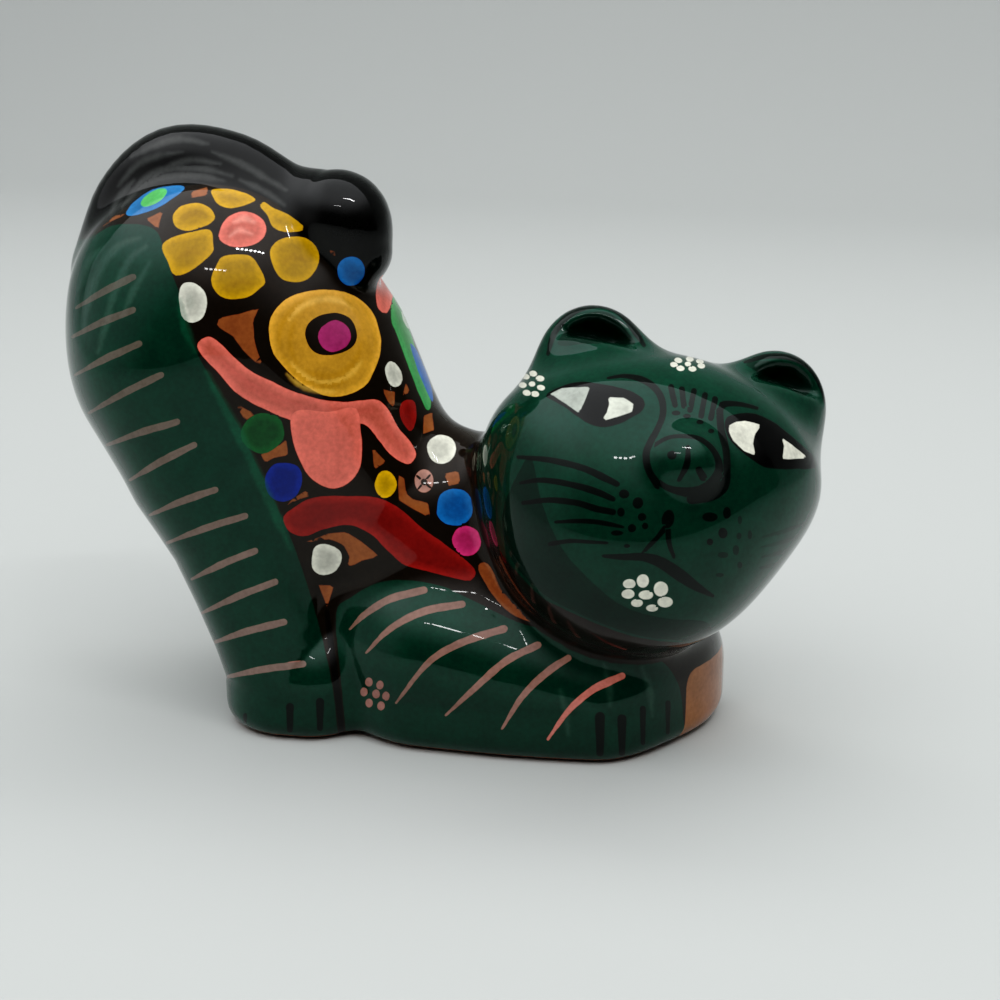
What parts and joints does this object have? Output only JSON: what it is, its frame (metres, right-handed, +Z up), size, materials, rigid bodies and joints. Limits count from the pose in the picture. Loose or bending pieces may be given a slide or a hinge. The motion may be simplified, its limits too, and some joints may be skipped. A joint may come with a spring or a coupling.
{
  "type": "clay cat figurine",
  "caption": "Small painted and glazed clay cat, stretching with its rump raised, its chin on its forelegs and its face turned to one side.",
  "frame": {"origin": "on the resting plane, under the middle of the figurine's box", "axes": "+X from the rump to the head, +Z up, the painted show side and the face towards -Y"},
  "size_m": [0.1205, 0.0511, 0.0925],
  "materials": {
    "glazed_clay": "low-fired terracotta painted by hand in dark green, black and bright dots and petals, under a clear gloss varnish"
  },
  "bodies": {
    "root": {"clay_cat": "glazed_clay"}
  },
  "joints": []
}
